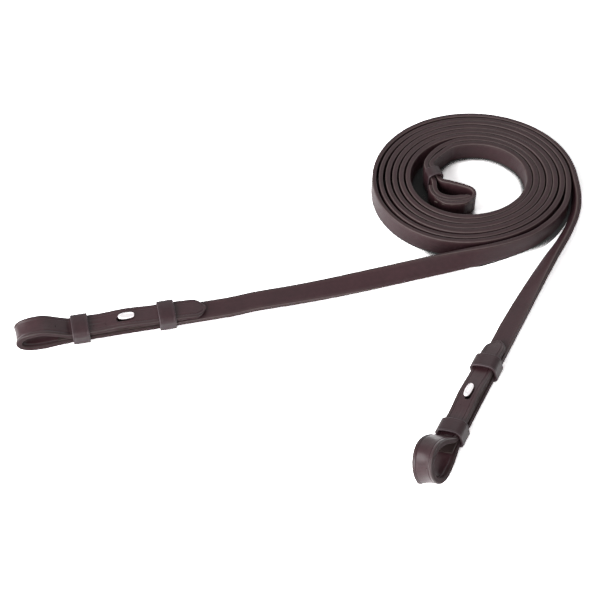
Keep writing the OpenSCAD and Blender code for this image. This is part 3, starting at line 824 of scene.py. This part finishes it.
# Stitching
# Waxed brown thread in two rows along each lining, and in two rows through the sewn centre join.
# Each stitch is a short bead of twisted thread, half sunk in the leather.
THREAD_THICK = 0.8
STITCH_IN = 1.6
STITCH_PITCH = 5.5
STITCH_SUNK = 0.12
LINING_STITCHES = 11
LINING_STITCH = 4.6
THREAD_DARK = (0.03, 0.018, 0.015, 1)
THREAD_PALE = (0.07, 0.045, 0.036, 1)
thread, add = bare_material("waxed_thread")
place = add("ShaderNodeTexCoord").outputs["Object"]
twist = add("ShaderNodeTexWave", inputs={"Vector": place, "Scale": 900.0, "Distortion": 2.0, "Detail": 1.0})
ply = add("ShaderNodeMix", data_type="RGBA", inputs={0: twist.outputs["Fac"], 6: THREAD_DARK, 7: THREAD_PALE})
bump = add("ShaderNodeBump", inputs={"Strength": 0.4, "Distance": 0.0001, "Height": twist.outputs["Fac"]})
skin = add(
    "ShaderNodeBsdfPrincipled",
    inputs={"Base Color": ply.outputs[2], "Roughness": 0.6, "Normal": bump.outputs["Normal"]},
)
add("ShaderNodeOutputMaterial", inputs={"Surface": skin.outputs[0]})

stitching = bpy.data.node_groups.new("row_of_stitches", "GeometryNodeTree")
new_socket = stitching.interface.new_socket
new_socket("Geometry", in_out="INPUT", socket_type="NodeSocketGeometry")
length_socket = new_socket("Stitch Length", in_out="INPUT", socket_type="NodeSocketFloat")
thick_socket = new_socket("Thread Thickness", in_out="INPUT", socket_type="NodeSocketFloat")
thread_socket = new_socket("Thread", in_out="INPUT", socket_type="NodeSocketMaterial")
new_socket("Geometry", in_out="OUTPUT", socket_type="NodeSocketGeometry")
add = node_kit(stitching)
given = add("NodeGroupInput").outputs
bead = add("GeometryNodeMeshUVSphere", inputs={"Segments": 8, "Rings": 6, "Radius": 0.5})
heading = add("GeometryNodeInputNamedAttribute", data_type="FLOAT_VECTOR", inputs={"Name": "heading"})
turn = add("FunctionNodeAlignRotationToVector", axis="X", inputs={"Vector": heading.outputs["Attribute"]})
size = add(
    "ShaderNodeCombineXYZ",
    inputs={0: given["Stitch Length"], 1: given["Thread Thickness"], 2: given["Thread Thickness"]},
)
points = add("GeometryNodeMeshToPoints", inputs={"Mesh": given["Geometry"]})
sewn = add(
    "GeometryNodeInstanceOnPoints",
    inputs={
        "Points": points.outputs[0], "Instance": bead.outputs["Mesh"],
        "Rotation": turn.outputs[0], "Scale": size.outputs[0],
    },
)
real = add("GeometryNodeRealizeInstances", inputs={"Geometry": sewn.outputs[0]})
smooth = add("GeometryNodeSetShadeSmooth", inputs={"Geometry": real.outputs[0]})
dressed = add("GeometryNodeSetMaterial", inputs={"Geometry": smooth.outputs[0], "Material": given["Thread"]})
add("NodeGroupOutput", inputs={0: dressed.outputs[0]})


def stitches(name, places, headings, length):
    """A stitch at each place, along its heading, as one piece."""
    mesh = bpy.data.meshes.new(name)
    mesh.from_pydata([tuple(p * MM) for p in places], [], [])
    ways = mesh.attributes.new("heading", "FLOAT_VECTOR", "POINT")
    ways.data.foreach_set("vector", np.array(headings, np.float32).reshape(-1))
    piece = bpy.data.objects.new(name, mesh)
    scene.collection.objects.link(piece)
    sewing = piece.modifiers.new("stitches", "NODES")
    sewing.node_group = stitching
    sewing[length_socket.identifier] = length * MM
    sewing[thick_socket.identifier] = THREAD_THICK * MM
    sewing[thread_socket.identifier] = thread
    return settled_mesh(piece)


for hand, pose in HANDS:
    origin, along, across, away = billet_axes(pose)
    places = []
    for k in range(LINING_STITCHES):
        x = LINING_FROM + STITCH_IN + (k + 0.5) * STITCH_PITCH
        for y in (STITCH_IN - STRAP_WIDTH / 2, STRAP_WIDTH / 2 - STITCH_IN):
            for z in (STITCH_SUNK, STRAP_THICK + LINING_THICK - STITCH_SUNK):
                places.append(origin + x * along + y * across + z * away)
    sewn = stitches(hand + "_lining_thread", places, [along] * len(places), LINING_STITCH)
    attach(sewn, "reins")
    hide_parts(hand + "_lining_stitches")

# Hook studs
# A polished steel button with a crowned oblong head, a round neck and a flat base plate.
# The plate is caught between strap and lining, and the tongue's slit buttons over the head.
STUD_LENGTH = 10.4
STUD_WIDTH = 4.6
STUD_CLEAR = 0.2
STUD_BASE = STACK_HIGH + BOW_RISE + STUD_CLEAR
PLATE_LENGTH = 13.0
PLATE_WIDTH = 8.0
# Rings of the plate: how much smaller, height above the strap; and rings of the neck: width, height
PLATE_RINGS = ((0.4, 0.02), (0.0, 0.2), (0.2, 0.75))
NECK_RINGS = ((3.0, STRAP_THICK + 0.8), (2.8, STRAP_THICK + 1.4), (2.8, STUD_BASE - 0.1))
# Rings of the head: share of its width, height above its underside, up to a flat little crown
HEAD_RINGS = (
    (0.9, 0.0), (0.98, 0.1), (1.0, 0.35), (0.985, 0.7), (0.94, 1.05), (0.86, 1.4), (0.74, 1.7),
    (0.58, 1.92), (0.38, 2.08), (0.18, 2.17), (0.03, 2.2),
)
CROWN_SHARE = 0.5
CROWN_LONGER = 0.16
END_ROUNDING = 1.05
# Powers of the rings' outlines, and points in each
OBLONG = 2.6
ROUND = 2
STUD_POINTS = 40
STEEL_COLOR = (0.9, 0.855, 0.87, 1)
LEAST_STEEL_ROUGHNESS = 0.08
RUBBED_ROUGHNESS = 0.12
steel, add = bare_material("polished_steel")
place = add("ShaderNodeTexCoord").outputs["Object"]
rub = add("ShaderNodeTexNoise", inputs={"Vector": place, "Scale": 900.0, "Detail": 3.0})
gloss = reckon(add, "MULTIPLY_ADD", rub.outputs["Fac"], RUBBED_ROUGHNESS, LEAST_STEEL_ROUGHNESS)
skin = add(
    "ShaderNodeBsdfPrincipled",
    inputs={"Base Color": STEEL_COLOR, "Metallic": 1.0, "Roughness": gloss},
)
add("ShaderNodeOutputMaterial", inputs={"Surface": skin.outputs[0]})


def oblong_ring(length, width, z, axes, at, power):
    origin, along, across, away = axes
    ring = []
    for k in range(STUD_POINTS):
        a = 2 * math.pi * k / STUD_POINTS
        c, s = math.cos(a), math.sin(a)
        x = length / 2 * math.copysign(abs(c) ** (2 / power), c)
        y = width / 2 * math.copysign(abs(s) ** (2 / power), s)
        ring.append(origin + (at + x) * along + y * across + z * away)
    return ring


for hand, pose in HANDS:
    axes = billet_axes(pose)
    rings = []
    for trim, high in PLATE_RINGS:
        rings.append(
            oblong_ring(PLATE_LENGTH - trim, PLATE_WIDTH - trim, STRAP_THICK + high, axes, STUD_AT, OBLONG)
        )
    for wide, high in NECK_RINGS:
        rings.append(oblong_ring(wide, wide, high, axes, SLIT_FROM, ROUND))
    for share, high in HEAD_RINGS:
        width = STUD_WIDTH * share
        length = STUD_LENGTH - (STUD_WIDTH - width) * END_ROUNDING
        if share < CROWN_SHARE:
            length = STUD_LENGTH * (CROWN_LONGER + share)
        rings.append(oblong_ring(length, width, STUD_BASE + high, axes, STUD_AT, OBLONG))
    stud = skin_mesh(hand + "_steel_stud", rings)
    stud.data.materials.append(steel)
    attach(stud, "reins")
    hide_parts(hand + "_hook_stud")

# Running keepers
# A flat leather band closed round strap, lining and tongue; it slides along the billet.
# Two to a billet: one next to the bit loop, one near the tongue's tip.
KEEPER_LENGTH = 10.2
KEEPER_WALL = 1.5
KEEPER_GAP = 0.3
KEEPER_ROUND = 3.2
KEEPER_ARCH = 1.3
BIT_KEEPER_AT = 70.7
TIP_KEEPER_AT = 18.2
# The band's section: its rounding, and the crease along both of its edges
BAND_ROUNDING = 0.55
BAND_CREASE_IN = 1.5
BAND_CREASE_DEEP = 0.14
BAND_CORNER_TURN = 15
BAND_SIDE_STEPS = 10
KEEPER_BROWN = (0.031, 0.0135, 0.0165)
# The keeper's edge colour is paler than its face, for burnish and as a painted highlight along its corners
# and crease edges
KEEPER_EDGE_AND_HIGHLIGHT = (0.080, 0.059, 0.066)
keeper_leather = leather("keeper_leather", KEEPER_BROWN, KEEPER_EDGE_AND_HIGHLIGHT, 0.24, grain=1700.0, coat=0.12)


def band_outline(half_u, half_v, r):
    """Points of a rounded rectangle, each with its outward direction, with steps along its sides."""
    corners = []
    for cu, cv, first in (
        (half_u - r, half_v - r, 0), (r - half_u, half_v - r, 90),
        (r - half_u, r - half_v, 180), (half_u - r, r - half_v, 270),
    ):
        turns = [direction(angle) for angle in range(first, first + 91, BAND_CORNER_TURN)]
        corners.append([(cu + r * nu, cv + r * nv, nu, nv) for nu, nv in turns])
    outline = []
    for i, corner in enumerate(corners):
        outline += corner
        u, v, nu, nv = corner[-1]
        next_u, next_v = corners[(i + 1) % len(corners)][0][:2]
        for k in range(1, BAND_SIDE_STEPS):
            share = k / BAND_SIDE_STEPS
            outline.append((u + (next_u - u) * share, v + (next_v - v) * share, nu, nv))
    return outline


def band(name, axes, at, length, wide, high, wall, outer_round, centre_away, arch):
    """A band with rounded edges, swept round the outline of what it holds, arched up along its top."""
    origin, along, across, away = axes
    half_u = wide / 2 + KEEPER_GAP + wall / 2
    half_v = high / 2 + KEEPER_GAP + wall / 2
    section = strap_section(length / 2, wall / 2, BAND_ROUNDING, BAND_CREASE_IN, BAND_CREASE_DEEP)
    rings, burnish_and_highlight = [], []
    for u, v, nu, nv in band_outline(half_u, half_v, outer_round - wall / 2):
        if v > 0:
            v += arch * max(0.0, 1 - (u / half_u) ** 2)
        x = at + length / 2 + section[:, 0]
        y = u + section[:, 1] * nu
        z = centre_away + v + section[:, 1] * nv
        rings.append(origin + x[:, None] * along + y[:, None] * across + z[:, None] * away)
        burnish_and_highlight.append(section[:, 2])
    piece = skin_mesh(name, rings, burnish_and_highlight, closed=True)
    piece.data.materials.append(keeper_leather)
    return piece


for hand, pose in HANDS:
    for end, at in (("bit", BIT_KEEPER_AT), ("tip", TIP_KEEPER_AT)):
        keeper = band(
            f"{hand}_{end}_keeper_band", billet_axes(pose), at, KEEPER_LENGTH, STRAP_WIDTH, STACK_HIGH,
            KEEPER_WALL, KEEPER_ROUND, STACK_HIGH / 2, KEEPER_ARCH,
        )
        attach(keeper, f"{hand}_{end}_keeper")
        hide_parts(f"{hand}_{end}_keeper")

# Centre join
# A leather cover, skived at both ends and sewn over the lapped ends of the two reins.
# A narrow leather keeper, closed round both straps, slides next to it.
COVER_RINGS = 36
COVER_THICK = 2.8
COVER_OUT = TAIL_OUT + TAIL_THICK / 2 + SEAM_GAP + COVER_THICK / 2
cover_line = []
for i in range(COVER_RINGS + 1):
    thin = COVER_THICK * skived(min(i, COVER_RINGS - i))
    cover_line.append([*join_place(i, COVER_OUT - (COVER_THICK - thin) / 2), thin])
rings, burnish_and_highlight, _ = strap_rings(cover_line)
cover = skin_mesh("join_cover_strip", rings, burnish_and_highlight)
cover.data.materials.append(rein_leather)
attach(cover, "reins")
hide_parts("join_cover")

JOIN_STITCH = 3.2
JOIN_STITCH_SUNK = 0.3
JOIN_STITCH_RINGS = range(3, COVER_RINGS - 1, 6)
places, headings = [], []
for i in JOIN_STITCH_RINGS:
    for face in (COVER_OUT + COVER_THICK / 2 - JOIN_STITCH_SUNK, JOIN_STITCH_SUNK - JOIN_THICK / 2):
        x, y, heading, _, lift = join_place(i, face)
        for z in (STITCH_IN, STRAP_WIDTH - STITCH_IN):
            places.append(np.array([x + HOME[0], y + HOME[1], lift + z]))
            headings.append([*direction(heading), 0])
sewn = stitches("join_thread", places, headings, JOIN_STITCH)
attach(sewn, "reins")
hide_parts("join_stitches")

CENTRE_BAND_LENGTH = 8.0
CENTRE_BAND_WALL = 1.4
CENTRE_BAND_ROUND = 2.2
CENTRE_BAND_ARCH = 1.4
centre_axes = (
    np.array([*(CENTRE_KEEPER_AT + HOME), CENTRE_LIFT + STRAP_WIDTH / 2]),
    np.array([*direction(CENTRE_KEEPER_HEADING), 0]),
    np.array([*side(CENTRE_KEEPER_HEADING), 0]),
    np.array([0, 0, 1]),
)
centre_keeper = band(
    "centre_keeper_band", centre_axes, -CENTRE_BAND_LENGTH / 2, CENTRE_BAND_LENGTH,
    2 * STRAND_HALF + JOIN_THICK, STRAP_WIDTH, CENTRE_BAND_WALL, CENTRE_BAND_ROUND, 0, CENTRE_BAND_ARCH,
)
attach(centre_keeper, "centre_keeper")
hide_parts("centre_keeper")

# Floor and light
# A plain pale floor that keeps a soft shadow, with painted shade in the nooks inside the coil, and a white
# surround.
# Two broad soft lamps stand at the left and in front, and a weak one behind.
FLOOR_REACH = 4.0
FLOOR_Z = -0.0003
SQUARE = ((-1, -1), (1, -1), (1, 1), (-1, 1))
floor_mesh = bpy.data.meshes.new("floor")
floor_corners = [(x * FLOOR_REACH, y * FLOOR_REACH, FLOOR_Z) for x, y in SQUARE]
floor_mesh.from_pydata(floor_corners, [], [(0, 1, 2, 3)])
floor = bpy.data.objects.new("floor", floor_mesh)
scene.collection.objects.link(floor)


def background_rays(add):
    """Two masks: the rays that show the background, and those of them that come by way of metal or glass."""
    path = add("ShaderNodeLightPath").outputs
    mirrored = reckon(add, "MAXIMUM", path["Is Glossy Ray"], path["Is Transmission Ray"])
    return reckon(add, "MAXIMUM", path["Is Camera Ray"], mirrored), mirrored


# Inside this ring round the coil's middle, the floor's colour darkens in nooks between the layers, as painted
# shade from ambient occlusion
COIL_MIDDLE = (0.106, 0.09, 0)
NOOKS_TO = 0.0675
NO_NOOKS_FROM = 0.07
NOOK_REACH = 0.02
NOOK_SAMPLES = 32
DARK_NOOK = 0.47
OPEN_NOOK = 0.57
# The floor's painted shade tone in the darkest nooks
NOOK_PAINTED_SHADE = 0.1
# Tone at which the floor is white under these lamps, how much less it needs in reflections, and its own grey
SEEN_WHITE = 3.6
MIRRORED_LESS = -1.5
FLOOR_GREY = (0.5, 0.5, 0.5, 1)
pale, add = bare_material("pale_floor")
seen, mirrored = background_rays(add)
place = add("ShaderNodeTexCoord").outputs["Object"]
from_coil = add("ShaderNodeVectorMath", operation="DISTANCE", inputs={0: place, 1: COIL_MIDDLE})
outside = add(
    "ShaderNodeMapRange",
    inputs={"Value": from_coil.outputs["Value"], "From Min": NOOKS_TO, "From Max": NO_NOOKS_FROM},
)
nook = add("ShaderNodeAmbientOcclusion", samples=NOOK_SAMPLES, inputs={"Distance": NOOK_REACH})
open_floor = add(
    "ShaderNodeMapRange",
    inputs={
        "Value": reckon(add, "ADD", nook.outputs["AO"], outside.outputs[0]),
        "From Min": DARK_NOOK, "From Max": OPEN_NOOK,
        "To Min": NOOK_PAINTED_SHADE, "To Max": reckon(add, "MULTIPLY_ADD", mirrored, MIRRORED_LESS, SEEN_WHITE),
    },
)
white_floor = add("ShaderNodeCombineXYZ", inputs={k: open_floor.outputs[0] for k in range(3)})
paint = add("ShaderNodeMix", data_type="RGBA", inputs={0: seen, 6: FLOOR_GREY, 7: white_floor.outputs[0]})
matt = add("ShaderNodeBsdfDiffuse", inputs={"Color": paint.outputs[2]})
add("ShaderNodeOutputMaterial", inputs={"Surface": matt.outputs[0]})
floor_mesh.materials.append(pale)

FILL_LIGHT = 0.27
studio = bpy.data.worlds.new("studio")
scene.world = studio
studio.use_nodes = True
studio.node_tree.nodes.clear()
add = node_kit(studio.node_tree)
fill = add("ShaderNodeBackground", inputs={"Color": (1, 1, 1, 1), "Strength": FILL_LIGHT})
white = add("ShaderNodeBackground", inputs={"Color": (1, 1, 1, 1), "Strength": 1.0})
seen, _ = background_rays(add)
surround = add("ShaderNodeMixShader", inputs={0: seen, 1: fill.outputs[0], 2: white.outputs[0]})
add("ShaderNodeOutputWorld", inputs={"Surface": surround.outputs[0]})

LAMPS_AIM_AT = np.array([0.02, 0.0, 0.0])
for name, lamp_at, size, power in (
    ("key_lamp", (-1.2, -0.42, 0.72), 1.0, 19.0),
    ("front_lamp", (-0.5, -1.25, 0.45), 0.8, 18.0),
    ("back_lamp", (0.1, 1.1, 1.0), 0.8, 1.5),
):
    lamp = bpy.data.lights.new(name, "AREA")
    lamp.shape = "SQUARE"
    lamp.size = size
    lamp.energy = power
    holder = bpy.data.objects.new(name, lamp)
    holder.location = lamp_at
    aim = LAMPS_AIM_AT - np.array(lamp_at)
    flat = math.hypot(aim[0], aim[1])
    holder.rotation_euler = (math.atan2(flat, -aim[2]), 0, math.atan2(aim[1], aim[0]) - math.pi / 2)
    scene.collection.objects.link(holder)
